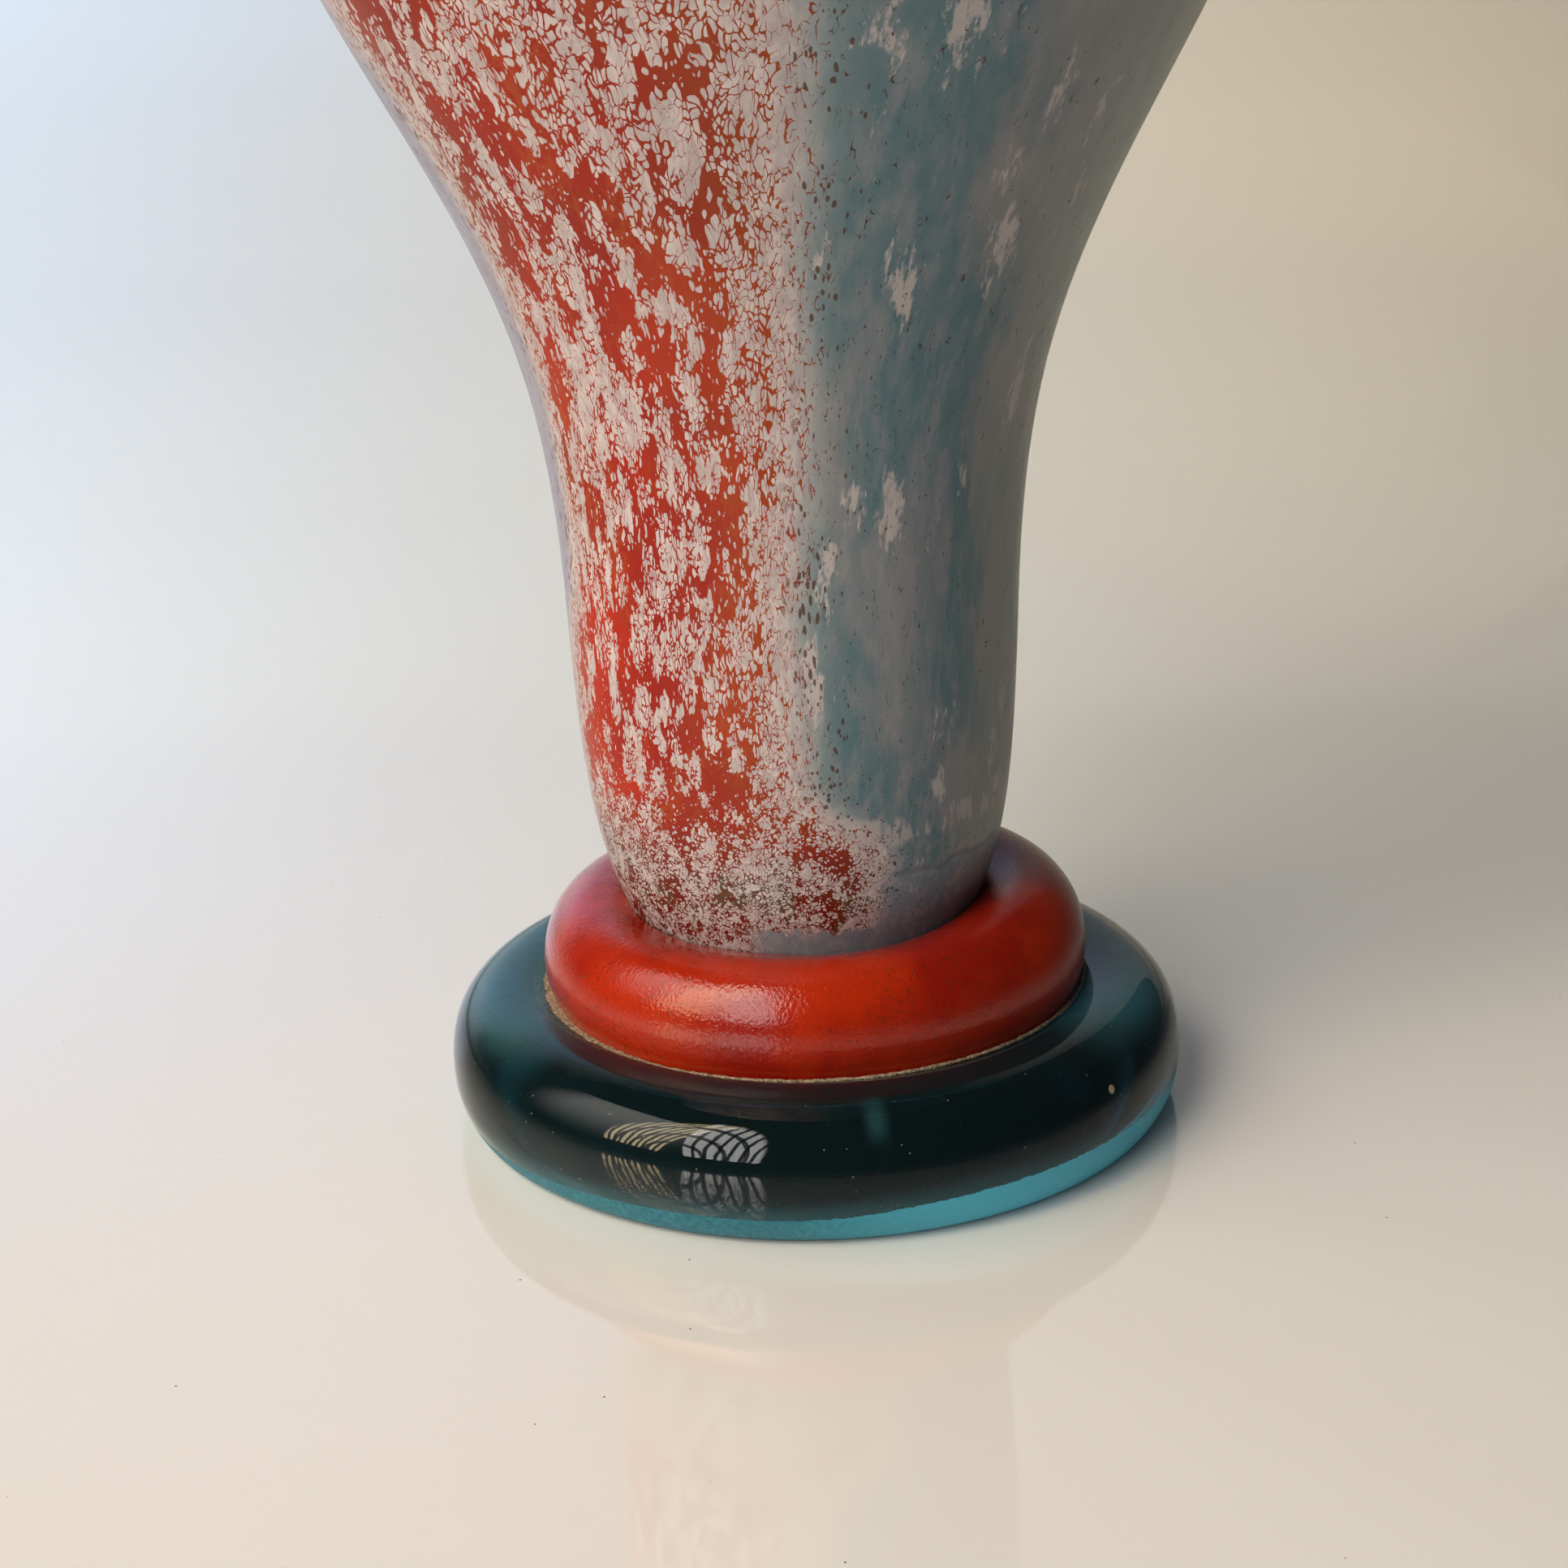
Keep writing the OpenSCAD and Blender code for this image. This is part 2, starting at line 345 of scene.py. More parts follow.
class WallPaint(Paint):
    """The vessel's outer glass, with the coordinates that its pattern is laid out in."""

    def __init__(self, name):
        super().__init__(name)
        self.where = self.place()
        x, y, self.z = self.split(self.where)
        self.ux, self.uy, _ = self.split(self.vector("NORMALIZE", self.join(x, y, 0.0)))

        # The wall unrolled onto a stem of constant radius: 1 unit is one grain, about 1 mm on the
        # stem. Above the heel the grains are drawn out upwards. The cells are warped from it.
        low = self.math("SMOOTH_MIN", self.z, DRAWN_FROM, 16.0)
        self.flat = self.around(WALL_R, self.add(self.times(self.z, 1 / 3.0),
                                                 self.times(low, 0.67)))
        self.warp = self.vector("SUBTRACT", self.noise(self.flat, 0.35, 3.0, 0.6, colour=True),
                                (0.5, 0.5, 0.5))
        self.cell = self.moved(self.flat, self.warp, 2.6)
        self.inside = self.panel_depth()
        self.fine = self.swing(self.noise(self.cell, 2.6, 2.0, 0.6))
        self.patch = self.noise(self.flat, 0.13, 3.0, 0.55)

    def around(self, radius, third):
        """Coordinates that run round the wall at a radius, with a third one along it."""
        return self.join(self.times(self.ux, radius), self.times(self.uy, radius), third)

    def panel_depth(self):
        """How far inside a red panel a point is, in radians, positive inside. The panels widen at
        the heel, leave the sides of the flare bare, and have a swaying and frayed edge."""
        round_axis = self.join(self.ux, self.uy, 0.0)
        facing = self.absolute(self.dot(round_axis,
                                        (math.cos(PANEL_TURN), math.sin(PANEL_TURN), 0)))
        inside = self.math("DIVIDE", self.less(facing, math.cos(PANEL_HALF)),
                           math.sin(PANEL_HALF))
        heel_turn = 0.45
        heel_side = self.absolute(self.dot(round_axis,
                                           (math.sin(heel_turn), -math.cos(heel_turn), 0)))
        widened = self.times(self.ramp(heel_side, 0.80, 0.96),
                             self.ramp(self.z, 58.0, 44.0, 0.0, 0.46))
        bare = self.times(self.ramp(self.absolute(self.ux), 0.80, 0.95, 0.0, 0.30),
                          self.times(self.ramp(self.z, 66.0, 90.0),
                                     self.ramp(self.z, 175.0, 130.0)))
        inside = self.less(self.add(inside, widened), bare)
        sway = self.swing(self.noise(self.flat, 0.06, 2.0, 0.5))
        fray = self.swing(self.noise(self.flat, 0.30, 3.0, 0.65))
        inside = self.add(inside, self.times(sway, 0.30))
        return self.add(inside, self.times(fray, 0.16))

    def flakes(self):
        """1 on a pale flake, 0 on the ground. Small grains have a thin net of ground between
        them. Whole grains gather in clusters: the reach of a grain, and so its size, comes from
        where its centre lies in a large cell. Near the heel the grains are larger and evenly
        strewn, and at the panel's margin they close up."""
        margin = self.ramp(self.inside, 0.24, 0.02)
        patchy = self.swing(self.noise(self.flat, 0.7, 2.0, 0.5))
        broken = self.swing(self.noise(self.cell, 1.5, 2.0, 0.6))
        thin = self.add(self.ramp(self.inside, 0.20, -0.20, 0.07, -0.07, "LINEAR"),
                        self.times(broken, 0.50))

        def cover(scale, net, reach_from):
            edge, spot, chance, grain = self.grains(self.cell, scale)
            drift = self.noise(self.vector("ADD", spot, (31.0, 4.0, 0.0)), 0.075, 2.0, 0.5)
            reach = reach_from(spot, self.ramp(drift, 0.36, 0.64, -0.17, 0.13, "LINEAR"))
            reach = self.add(self.blend(margin, reach, 1.2),
                             self.times(self.swing(chance), 0.45))
            gap = self.add(self.blend(margin, net, thin), self.times(self.fine, 0.10))
            rounded = self.less(reach, self.add(grain, self.times(self.fine, 0.25)))
            return self.least(self.less(edge, gap), rounded)

        crowded = self.ramp(self.z, 100.0, 190.0, 0.0, 0.13)
        upper = cover(
            2.1, self.ramp(patchy, -0.12, 0.14, 0.00, 0.12),
            lambda spot, spread: self.ramp(
                self.less(self.cells(spot, 0.42), self.add(spread, crowded)),
                0.66, 0.34, 0.16, 1.00))
        lower = cover(
            1.7, self.ramp(patchy, -0.14, 0.12, 0.00, 0.13),
            lambda spot, spread: self.ramp(
                self.less(self.cells(spot, 0.30), spread), 0.95, 0.20, 0.30, 1.00))
        return self.ramp(self.blend(self.ramp(self.z, 56.0, 47.0), upper, lower), -0.008, 0.03)

    def red_ground(self):
        """The red between the flakes: deeper near the belly and the heel, rusty in patches and
        towards the panel's edge, and murky in places at the heel."""
        heat = self.noise(self.where, 0.05, 3.0, 0.55)
        ground = self.mix(self.ramp(heat, 0.38, 0.62), rgb(136, 23, 6), rgb(164, 36, 9))
        ground = self.mix(self.ramp(self.z, 90.0, 150.0, 0.0, 0.6), ground, rgb(122, 25, 7))
        speckle = self.noise(self.cell, 1.6, 3.0, 0.7)
        rusty = self.times(self.ramp(self.noise(self.flat, 0.11, 3.0, 0.6), 0.47, 0.60),
                           self.ramp(speckle, 0.40, 0.62))
        ground = self.mix(self.times(rusty, 0.55), ground, rgb(156, 72, 22))
        ground = self.mix(self.ramp(self.inside, 0.34, 0.02, 0.0, 0.75), ground, rgb(140, 66, 24))
        ground = self.mix(self.ramp(self.inside, 0.02, -0.16), ground, rgb(74, 44, 34))
        murk = self.times(self.ramp(self.z, 48.0, 42.0),
                          self.ramp(self.noise(self.flat, 0.10, 3.0, 0.6), 0.50, 0.60))
        ground = self.mix(self.ramp(self.z, 54.0, 40.0, 0.0, 0.9), ground, rgb(92, 24, 8))
        return self.mix(self.times(murk, self.ramp(speckle, 0.35, 0.55)), ground,
                        rgb(78, 70, 52))

    def blue_grey(self):
        """Blue-grey glass: teal beside the panel, slate and mauve further round, with slanting
        strokes and pale smudges."""
        slant = self.add(self.times(self.z, 0.16), self.times(self.ux, -5.0))
        along = self.around(18.0, slant)
        wide = self.noise(self.flat, 0.055, 2.0, 0.5)
        stroke = self.noise(along, 0.9, 4.0, 0.62)
        teal = self.add(self.ramp(self.inside, -0.65, -0.30, 0.0, 0.45),
                        self.ramp(wide, 0.36, 0.64))
        teal = self.add(teal, self.swing(self.ramp(self.patch, 0.36, 0.64)), clamp=True)
        blue = self.mix(teal, rgb(126, 128, 132), rgb(84, 112, 122))
        blue = self.mix(self.ramp(stroke, 0.42, 0.72, 0.0, 0.42), blue, rgb(150, 146, 148))
        blue = self.mix(self.ramp(self.inside, -0.20, 0.0, 0.0, 0.75), blue, rgb(142, 152, 156))
        # Lilac on the left side: partly the glass's own tint, partly a painted sheen of the bright
        # left
        blue = self.mix(self.ramp(self.ux, -0.78, -0.92, 0.0, 0.7), blue, rgb(152, 140, 158))
        blue = self.mix(self.ramp(self.ux, 0.62, 0.98, 0.0, 0.5), blue, rgb(172, 176, 168))
        feather = self.noise(along, 2.6, 3.0, 0.65)
        blue = self.mix(self.ramp(self.z, 45.0, 38.0, 0.0, 0.3), blue, rgb(146, 146, 154))
        smudge = self.cells(self.moved(self.flat, self.warp, 4.5), 0.15)
        smudge = self.add(smudge, self.times(self.swing(feather), 0.75))
        return self.mix(self.ramp(smudge, 0.26, 0.12, 0.0, 0.8), blue, rgb(186, 176, 176))

    def with_heel(self, blue):
        """On the blue side the heel shows as a row of pale dashes, a dark line of painted shade
        along the crease below it, and greyer, blotched glass."""
        level = self.add(self.z, self.times(self.swing(self.noise(self.flat, 0.12, 2.0)), 5.0))
        dashes = self.times(
            self.ramp(self.absolute(self.less(level, DASHES_AT)), 2.4, 1.2),
            self.ramp(self.noise(self.around(WALL_R, self.times(self.z, 0.2)), 0.55, 2.0),
                      0.46, 0.54))
        # Painted shade: a thin dark line painted along the crease at the heel's turn
        crease_shade = self.ramp(self.absolute(self.less(level, CREASE_SHADE_AT)), 0.9, 0.1)
        blue = self.mix(self.ramp(level, 43.0, 41.6, 0.0, 0.60), blue, rgb(102, 120, 134))
        blotch = self.noise(self.moved(self.flat, self.warp, 3.0), 0.5, 3.0, 0.65)
        blotch = self.times(self.ramp(blotch, 0.44, 0.62),
                            self.ramp(level, 49.0, 40.0, 0.10, 0.45))
        blue = self.mix(blotch, blue, rgb(158, 150, 154))
        blue = self.mix(self.times(dashes, 0.7), blue, rgb(176, 166, 168))
        return self.mix(self.times(crease_shade, 0.35), blue, rgb(62, 68, 76))

    def strip(self):
        """The bare strip of glass just above the collar, with a ragged top."""
        ragged = self.times(self.swing(self.noise(self.flat, 0.3, 3.0, 0.6)), 8.0)
        return self.times(self.ramp(self.add(self.z, ragged), 34.6, 33.4),
                          self.ramp(self.ux, -0.34, -0.14))

    def dots(self):
        """Dark specks in the blue glass, which crowd towards the panel."""
        crowd = self.times(self.ramp(self.patch, 0.40, 0.62),
                           self.ramp(self.inside, -0.42, -0.02, 0.0, 0.20))
        size = self.add(crowd, self.ramp(self.inside, -0.8, 0.0, 0.06, 0.15, "LINEAR"))
        dot = self.less(size, self.cells(self.moved(self.flat, self.warp, 1.2), 1.35))
        dot = self.add(dot, self.times(self.fine, 0.16))
        dot = self.add(dot, self.ramp(self.z, 100.0, 170.0, 0.0, -0.08))
        return self.times(self.ramp(dot, -0.01, 0.04), self.ramp(self.inside, 0.10, -0.02))


def mottled_glass():
    """Satin vessel glass. Pale flakes crowd in clusters on a red ground over two facing panels,
    which pass through fine specks into blue-grey glass. The flakes grow where the wall was blown
    out."""
    p = WallPaint("mottled_glass")
    flake = p.flakes()
    pale = p.mix(p.ramp(p.noise(p.cell, 0.8, 3.0, 0.7), 0.35, 0.7),
                 rgb(168, 156, 158), rgb(192, 182, 182))
    strip = p.strip()
    skin = p.mix(p.most(p.ramp(p.inside, 0.07, -0.10), strip), pale, p.with_heel(p.blue_grey()))
    colour = p.mix(p.most(flake, p.times(strip, 0.9)), p.red_ground(), skin)
    colour = p.mix(p.times(p.dots(), 0.85), colour, rgb(76, 46, 36))
    relief = p.add(p.times(flake, 0.5), p.noise(p.where, 0.6, 3.0, 0.6))
    satin = p.bump(relief, 0.06 * MM, 0.6)
    p.set(colour=colour, roughness=p.ramp(p.noise(p.where, 0.2, 2.0), 0.3, 0.7, 0.34, 0.44),
          normal=satin, coat_normal=satin, ior=1.5, specular=0.18, coat=0.10,
          coat_roughness=0.14)
    return p.material


def inner_glass():
    """Glossy pale lining that shows down the mouth."""
    p = Paint("inner_glass")
    where = p.place()
    cloud = p.noise(where, 0.07, 4.0, 0.6)
    fleck = p.cells(where, 0.55)
    colour = p.mix(p.ramp(cloud, 0.35, 0.65), rgb(150, 158, 164), rgb(186, 184, 186))
    colour = p.mix(p.ramp(fleck, 0.16, 0.10, 0.0, 0.5), colour, rgb(150, 84, 60))
    p.set(colour=colour, roughness=0.16, ior=1.5,
          normal=p.bump(p.noise(where, 0.12, 2.0), 0.15 * MM, 0.5))
    return p.material


# ---------------------------------------------------------------- the other materials

def red_glass():
    """Opaque orange-red glass with an orange-peel skin and a few dark pits. Its coat thins towards
    the back right, which is painted shade: it dims the reflection there."""
    p = Paint("red_glass")
    where = p.place()
    heat = p.noise(where, 0.05, 3.0, 0.55)
    colour = p.mix(p.ramp(heat, 0.36, 0.64), rgb(138, 19, 3), rgb(166, 38, 5))
    cloudy = p.ramp(p.noise(where, 0.35, 4.0, 0.7), 0.52, 0.75)
    colour = p.mix(p.times(cloudy, 0.5), colour, rgb(128, 34, 14))
    sooty = p.times(p.ramp(p.noise(where, 1.7, 3.0, 0.65), 0.54, 0.66),
                    p.ramp(p.noise(where, 0.07, 2.0), 0.42, 0.58))
    colour = p.mix(p.times(sooty, 0.6), colour, rgb(88, 36, 14))
    pit = p.ramp(p.cells(where, 0.6), 0.10, 0.06)
    colour = p.mix(p.times(pit, 0.8), colour, rgb(70, 22, 12))
    peel = p.noise(where, 1.9, 2.0, 0.5)
    slow = p.noise(where, 0.28, 2.0, 0.5)
    height = p.less(p.add(peel, p.times(slow, 0.6)), p.times(pit, 0.5))
    skin = p.bump(height, 0.075 * MM)
    x, y, _ = p.split(where)
    # Painted shade: the coat thins towards the back right so that side mirrors less
    behind = p.dot(p.vector("NORMALIZE", p.join(x, y, 0.0)), (0.95, 0.30, 0.0))
    p.set(colour=colour, roughness=0.26, specular=0.1, ior=1.5, coat_roughness=0.03,
          coat=p.ramp(behind, 0.2, 0.9, 0.8, 0.15), normal=skin, coat_normal=skin)
    return p.material


def teal_glass():
    """Clear teal glass that darkens with depth. The underside and the lowest few millimetres are
    ground, so they scatter light and look pale, round a polished hollow. Where the lower bond sits
    the glass shows the bond through, and reflects nothing back inside."""
    p = Paint("teal_glass")
    where = p.place()
    x, y, z = p.split(where)
    radius = p.length(p.join(x, y, 0.0))
    grit = p.noise(where, 1.3, 3.0, 0.7)

    # The ground rim, highest at the front right, with a thin haze above its gritty edge
    toward = p.math("DIVIDE", p.dot(where, (0.80, -0.60, 0.0)), radius)
    edge = p.add(z, p.times(p.swing(grit), 0.8))
    height = p.add(p.ramp(toward, 0.5, 1.0, 4.4, 6.6), p.ramp(toward, 0.3, -0.6, 0.0, -1.5))
    below = p.less(height, edge)
    shown = p.most(p.ramp(below, -0.12, 0.12), p.ramp(below, -3.2, 0.0, 0.0, 0.10))
    ground = p.times(shown, p.ramp(radius, 34.0, 50.0))

    # Painted light: a pale teal glow painted into the shoulders at both sides as ground glass, and
    # a faint streak of glass at the front
    sideways = p.math("DIVIDE", p.absolute(x), radius)
    # Painted light: the shoulders take the ground glass's pale colour where the glass catches
    # light
    painted_shoulder_glow = p.times(p.ramp(sideways, 0.72, 0.98), p.ramp(z, 14.5, 18.5, 0.0, 0.20))
    ground = p.most(ground, p.times(painted_shoulder_glow, p.ramp(radius, 62.0, 46.0)))
    across = p.absolute(p.dot(where, (0.989, 0.150, 0.0)))
    streak = p.times(p.ramp(across, 2.2, 0.2), p.ramp(toward, 0.3, 0.7))
    streak = p.times(streak, p.times(p.ramp(z, 13.5, 17.0), p.ramp(radius, 45.0, 51.0)))
    ground = p.most(ground, p.times(streak, 0.08))
    teal = p.mix(p.ramp(grit, 0.3, 0.7), rgb(28, 108, 128), rgb(58, 136, 154))
    # Painted light: the rim's teal is painted brighter towards the front right
    teal = p.mix(p.ramp(toward, 0.45, 1.0), teal, rgb(88, 204, 232))

    dust = p.ramp(p.cells(where, 0.6), 0.060, 0.036)
    chip = p.ramp(p.length(p.vector("SUBTRACT", where, CHIP)), 0.75, 0.45)
    flaw = p.most(dust, chip)
    seat = p.times(p.ramp(radius, 37.0, 36.0), p.ramp(z, 8.0, 9.0))
    hidden = p.most(p.times(flaw, 0.9), seat)
    clear = p.times(p.ramp(ground, 0.0, 1.0, 0.988, 0.2, "LINEAR"), p.less(1.0, hidden))
    ripple = p.add(p.noise(where, 0.05, 2.0), p.times(p.noise(where, 0.3, 2.0), 0.06))
    colour = p.mix(p.ramp(ground, 0.1, 0.4), rgb(110, 200, 216), teal)
    colour = p.mix(flaw, colour, rgb(186, 160, 122))
    p.set(colour=p.mix(seat, colour, rgb(60, 22, 16)), clear=clear, ior=1.38,
          roughness=p.ramp(ground, 0.3, 1.0, 0.012, 0.5),
          normal=p.bump(ripple, 0.12 * MM, 0.45))
    absorb = p.node("ShaderNodeVolumeAbsorption",
                    {"Color": (0.0, 0.46, 0.54, 1.0), "Density": 36.0})
    p.feed(p.output.inputs["Volume"], absorb.outputs[0])
    return p.material


def sandy_bond():
    """Rough, dusty adhesive."""
    p = Paint("sandy_bond")
    grain = p.noise(p.place(), 2.6, 3.0, 0.7)
    colour = p.mix(p.ramp(grain, 0.35, 0.65), rgb(92, 76, 56), rgb(182, 160, 134))
    p.set(colour=colour, roughness=0.9, specular=0.2, normal=p.bump(grain, 0.2 * MM, 1.0))
    return p.material


def clear_film():
    p = Paint("clear_film")
    p.set(colour=p.mix(p.noise(p.place(), 0.5), rgb(150, 140, 132), rgb(190, 184, 178)),
          roughness=0.4)
    return p.material


def table_top():
    """Glossy pale board with a few specks of dust."""
    p = Paint("table_top")
    speck = p.ramp(p.cells(p.place(), 0.12), 0.022, 0.014)
    p.set(colour=p.mix(speck, rgb(241, 240, 238), rgb(70, 58, 48)), roughness=0.01, ior=1.6,
          coat=1.0, coat_roughness=0.01)
    return p.material


# ---------------------------------------------------------------- pieces

def lean(height):
    """How far the leaning vessel is off its own axis at a height."""
    return Vector(((STEM_HEIGHT - height) * math.tan(VESSEL_LEAN), 0, 0))


def make_vessel():
    outline = spaced(section("vessel"), 0.7 * MM)
    lip = max(range(len(outline)), key=lambda i: outline[i][1])
    wall_inside = set(outline[lip:])

    def place(point):
        swell = wander(point, 60 * MM, 0.25 * MM, 3) * smooth_step(0.03, 0.06, point.z)
        return point + outward(point) * swell + lean(point.z)

    def is_lining(radius, height):
        nearest = min(outline, key=lambda q: math.dist(q, (radius, height)))
        return nearest in wall_inside and height < VESSEL[1].z - 3.5 * MM

    vessel = turned("vessel_glass", outline, place, "vessel", mottled_glass(), inner_glass(),
                    second=is_lining)
    vessel.location = VESSEL_SHIFT
    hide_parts("vessel")


def make_collar():
    """The ring is tilted and shifted, but its cup goes with the vessel, and the groove between
    them is filled at the left and partly at the right."""
    outline = spaced(section("collar"), 0.5 * MM)
    crest = max(outline, key=lambda q: q[1])
    waist = max(outline, key=lambda q: q[0])
    bond_line = waist[1] - SKIRT_TOP
    pivot = upward(waist[1])
    tilt = Matrix.Rotation(-COLLAR_TILT, 3, "Y")

    def place(point):
        radius = math.hypot(point.x, point.y)
        side = outward(point)
        below = smooth_step(bond_line, bond_line - 1.5 * MM, point.z)
        sunk = point + (side * 0.3 + upward(-1)) * SKIRT_SUNK * below
        swell = side * (wander(point, 26 * MM, 0.45 * MM, 7)
                        + wander(point, 9 * MM, 0.08 * MM, 5))
        turned_over = tilt @ (sunk + swell - pivot) + pivot + COLLAR_SHIFT
        filled = max(smooth_step(0.2, 0.6, side.dot(LEFT)),
                     0.6 * smooth_step(0.2, 0.7, -side.dot(LEFT)))
        filled *= smooth_step(25.2 * MM, 26.6 * MM, radius)
        rise = (crest[1] - 0.25 * (crest[0] - radius) - point.z) * filled
        in_cup = point + VESSEL_SHIFT + lean(point.z) - side * 0.4 * MM + upward(rise)
        cup = smooth_step(crest[0] - 0.3 * MM, crest[0] - 3.2 * MM, radius)
        shaped = turned_over.lerp(in_cup, cup if point.z > bond_line else 0.0)
        sag = (smooth_step(38 * MM, 29 * MM, radius)
               * smooth_step(0.2, 0.95, side.dot(FRONT_LEFT)))
        return shaped - upward(CREST_SAG * (sag if point.z > waist[1] else 0.0))

    collar = turned("collar_glass", outline, place, "collar", red_glass())
    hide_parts("collar")


def make_foot():
    def place(point):
        lifted = smooth_step(0.5 * MM, 3 * MM, point.z)
        return point + outward(point) * wander(point, 45 * MM, 0.3 * MM, 11) * lifted

    foot = turned("foot_glass", spaced(section("foot"), 0.35 * MM), place, "foot", teal_glass())
    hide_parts("foot")


def make_bonds():
    """The sandy bead round the collar, widest at the left where it was squeezed out, and the
    clear film under the vessel."""
    outline = section("lower_bond")
    lip_r, lip_z = max(outline, key=lambda q: q[0])
    mesh = bpy.data.meshes.new("bond_bead")
    shape = bmesh.new()
    rings = []
    for i in range(BEAD_TURNS):
        angle = math.tau * i / BEAD_TURNS
        side = Vector((math.cos(angle), math.sin(angle), 0))
        left = smooth_step(math.radians(62), math.radians(8), abs(angle - math.pi * 1.04))
        coarse = noise.noise(side * 9)
        fine = noise.noise(side * 46)
        wide = (0.26 + 0.10 * coarse + 0.18 * fine + 1.8 * left) * MM
        tall = (0.26 + 0.08 * coarse + 0.12 * fine + 0.20 * left) * MM
        rise = COLLAR_TILT * side.x * lip_r * 0.5
        centre = (side * (lip_r - 0.75 * MM) + COLLAR_SHIFT * 0.6
                  + upward(lip_z - 0.05 * MM + rise))
        ring = []
        for k in range(BEAD_STEPS):
            turn = math.tau * k / BEAD_STEPS
            rough = 1 + 0.22 * noise.noise(Vector((angle * 60, turn * 2, 4)))
            out = 0.3 * MM + wide * math.cos(turn) * rough
            ring.append(shape.verts.new(centre + side * out
                                        + upward(tall * math.sin(turn) * rough)))
        rings.append(ring)
    for i in range(BEAD_TURNS):
        here, there = rings[i], rings[(i + 1) % BEAD_TURNS]
        for k in range(BEAD_STEPS):
            j = (k + 1) % BEAD_STEPS
            shape.faces.new((here[k], there[k], there[j], here[j]))
    bmesh.ops.recalc_face_normals(shape, faces=shape.faces)
    shape.to_mesh(mesh)
    shape.free()
    bead = add_object("bond_bead", mesh, "lower_bond", sandy_bond())
    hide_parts("lower_bond")
    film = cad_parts["upper_bond"].data.materials
    film.clear()
    film.append(clear_film())


# ---------------------------------------------------------------- studio

def make_table():
    """A wide glossy pale table that turns up into a backdrop behind the vase."""
    front, flat_end, left_end, right_end = -1.8, 0.3, -3.0, 0.9
    curve, curve_steps, top = 2.9, 48, 3.0
    under_foot = 0.03 * MM
    profile = [(front, 0.0), (flat_end, 0.0)]
    for i in range(curve_steps):
        turn = math.pi / 2 * smooth_step(0.0, 1.0, (i + 0.5) / curve_steps)
        y, z = profile[-1]
        profile.append((y + curve / curve_steps * math.cos(turn),
                        z + curve / curve_steps * math.sin(turn)))
    profile.append((profile[-1][0], top))
    mesh = bpy.data.meshes.new("table")
    shape = bmesh.new()
    rows = [[shape.verts.new((x, y, z - under_foot)) for x in (left_end, right_end)]
            for y, z in profile]
    for a, b in zip(rows, rows[1:]):
        shape.faces.new((a[0], a[1], b[1], b[0])).smooth = True
    shape.to_mesh(mesh)
    shape.free()
    mesh.materials.append(table_top())
    table = bpy.data.objects.new("table", mesh)
    bpy.context.scene.collection.objects.link(table)


def add_light(name, centre, target, size, radiance, colour, spread=180, shade=None,
              mirrored=True):
    """A soft panel: radiance is how bright its face looks, spread its beam in degrees, and
    shade(nodes, across, up) says how bright each place of its face is, both running 0 to 1. A
    panel that isn't mirrored leaves no highlight."""
    data = bpy.data.lights.new(name, "AREA")
    data.shape = "RECTANGLE"
    data.size, data.size_y = size
    data.energy = radiance * math.pi * size[0] * size[1]
    data.color = colour
    data.spread = math.radians(spread)
    if shade:
        data.use_nodes = True
        n = Nodes(data.node_tree)
        across, up, _ = n.split(n.node("ShaderNodeNewGeometry").outputs["Parametric"])
        n.feed(data.node_tree.nodes["Emission"].inputs["Strength"], shade(n, across, up))
    light = bpy.data.objects.new(name, data)
    light.visible_glossy, light.visible_transmission = mirrored, False
    light.location = centre
    light.rotation_euler = (Vector(target) - Vector(centre)).to_track_quat("-Z", "Y").to_euler()
    bpy.context.scene.collection.objects.link(light)


def faded(n, across, up):
    """Dies away towards the panel's foot and ends."""
    ends = n.times(n.ramp(across, 0.0, 0.3), n.ramp(across, 1.0, 0.7))
    return n.times(ends, n.ramp(up, 0.0, 0.9))


def half_arch(corner, bars_across, bar_width):
    """Half of an arched window, whose middle is at corner 0 or 1, with dark bars across it."""
    def shade(n, across, up):
        where = n.join(n.less(across, corner), up, 0.0)
        slats = n.node("ShaderNodeTexWave",
                       {"Vector": where, "Scale": bars_across / WAVE_BARS, "Distortion": 2.0,
                        "Detail": 2.0, "Detail Scale": 1.5}).outputs["Fac"]
        arches = n.node("ShaderNodeTexWave",
                        {"Vector": where, "Scale": 1.2, "Distortion": 1.2},
                        wave_type="RINGS", rings_direction="Z").outputs["Fac"]
        bars = n.times(n.ramp(slats, bar_width, bar_width + 0.2, 0.04),
                       n.ramp(arches, 0.06, 0.18, 0.08))
        return n.times(bars, n.ramp(n.length(where), 1.02, 0.94))
    return shade


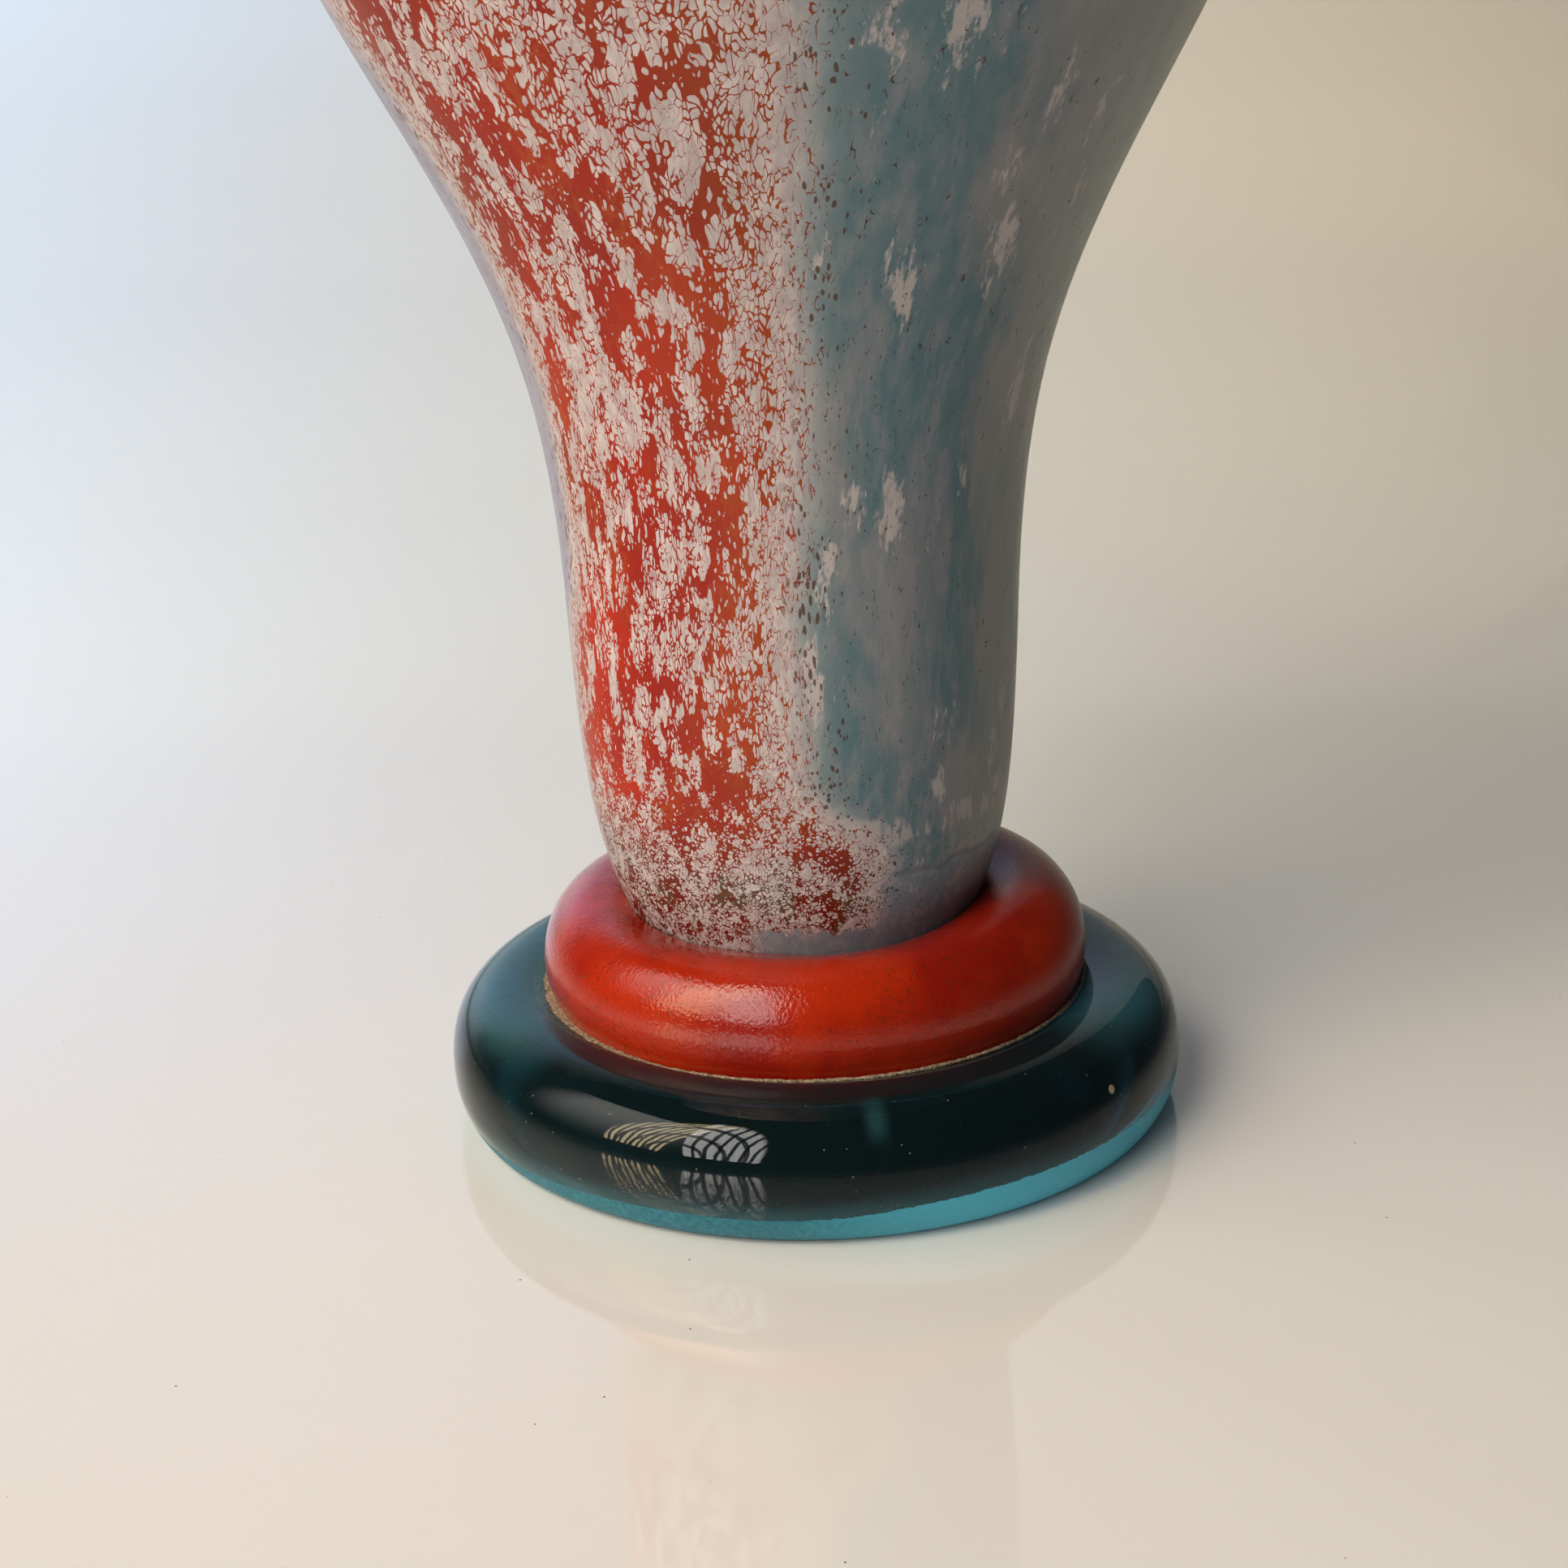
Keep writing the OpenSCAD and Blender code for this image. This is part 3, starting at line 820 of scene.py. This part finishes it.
def make_lights():
    """A broad soft light from the left, an arched window in two halves that the glass mirrors,
    four coloured fills for the table, and a dim room."""
    middle = (0, 0, 0.1)
    add_light("key_left", (-2.2, -0.75, 1.3), middle, (3.1, 2.6), 2.05, (1.0, 0.95, 0.87), 140,
              shade=faded)
    add_light("window_warm", (-0.98, -0.66, 0.92), middle, (0.52, 1.6), 11.6,
              (1.0, 0.77, 0.45), shade=half_arch(1, 10, 0.34))
    add_light("window_cool", (-0.57, -1.03, 0.92), middle, (0.66, 1.6), 9.2,
              (1.0, 0.94, 0.90), shade=half_arch(0, 7, 0.14))
    add_light("corner_left", (-1.6, 1.9, 1.2), (-0.7, 1.5, 0.2), (0.8, 0.8), 2.9,
              (0.85, 1.0, 0.94), 60, mirrored=False)
    add_light("sky_back", (-1.3, 0.5, 1.0), (-0.7, 2.0, 0.6), (0.8, 0.8), 2.32,
              (0.02, 0.29, 1.0), 76, mirrored=False)
    add_light("near_left", (-1.1, 0.5, 0.9), (-0.28, 0.35, 0.0), (0.6, 0.6), 0.34,
              (1.0, 0.97, 0.6), 40, mirrored=False)
    add_light("top_right", (0.3, 2.2, 1.2), (0.25, 1.25, 0.05), (0.6, 0.6), 3.2,
              (1.0, 0.60, 0.04), 36, mirrored=False)
    world = bpy.data.worlds.new("studio")
    world.use_nodes = True
    room = world.node_tree.nodes["Background"]
    room.inputs["Color"].default_value = (1.0, 0.95, 0.9, 1)
    room.inputs["Strength"].default_value = 0.05
    bpy.context.scene.world = world


def make_camera():
    data = bpy.data.cameras.new("camera")
    data.lens = CAMERA_LENS
    data.sensor_width = 36
    camera = bpy.data.objects.new("camera", data)
    bpy.context.scene.collection.objects.link(camera)
    ahead = Vector((math.sin(CAMERA_YAW) * math.cos(CAMERA_PITCH),
                    math.cos(CAMERA_YAW) * math.cos(CAMERA_PITCH), -math.sin(CAMERA_PITCH)))
    right = Vector((math.cos(CAMERA_YAW), -math.sin(CAMERA_YAW), 0))
    up = right.cross(ahead)
    across = right * math.cos(CAMERA_ROLL) + up * math.sin(CAMERA_ROLL)
    above = up * math.cos(CAMERA_ROLL) - right * math.sin(CAMERA_ROLL)
    turn = Matrix((across, above, -ahead)).transposed()
    place = Vector((0, -CAMERA_BACK * FOOT_R, CAMERA_UP * FOOT_R))
    camera.matrix_world = Matrix.Translation(place) @ turn.to_4x4()
    bpy.context.scene.camera = camera


make_vessel()
make_collar()
make_foot()
make_bonds()
make_table()
make_lights()
make_camera()
bpy.context.scene.view_settings.view_transform = "Standard"
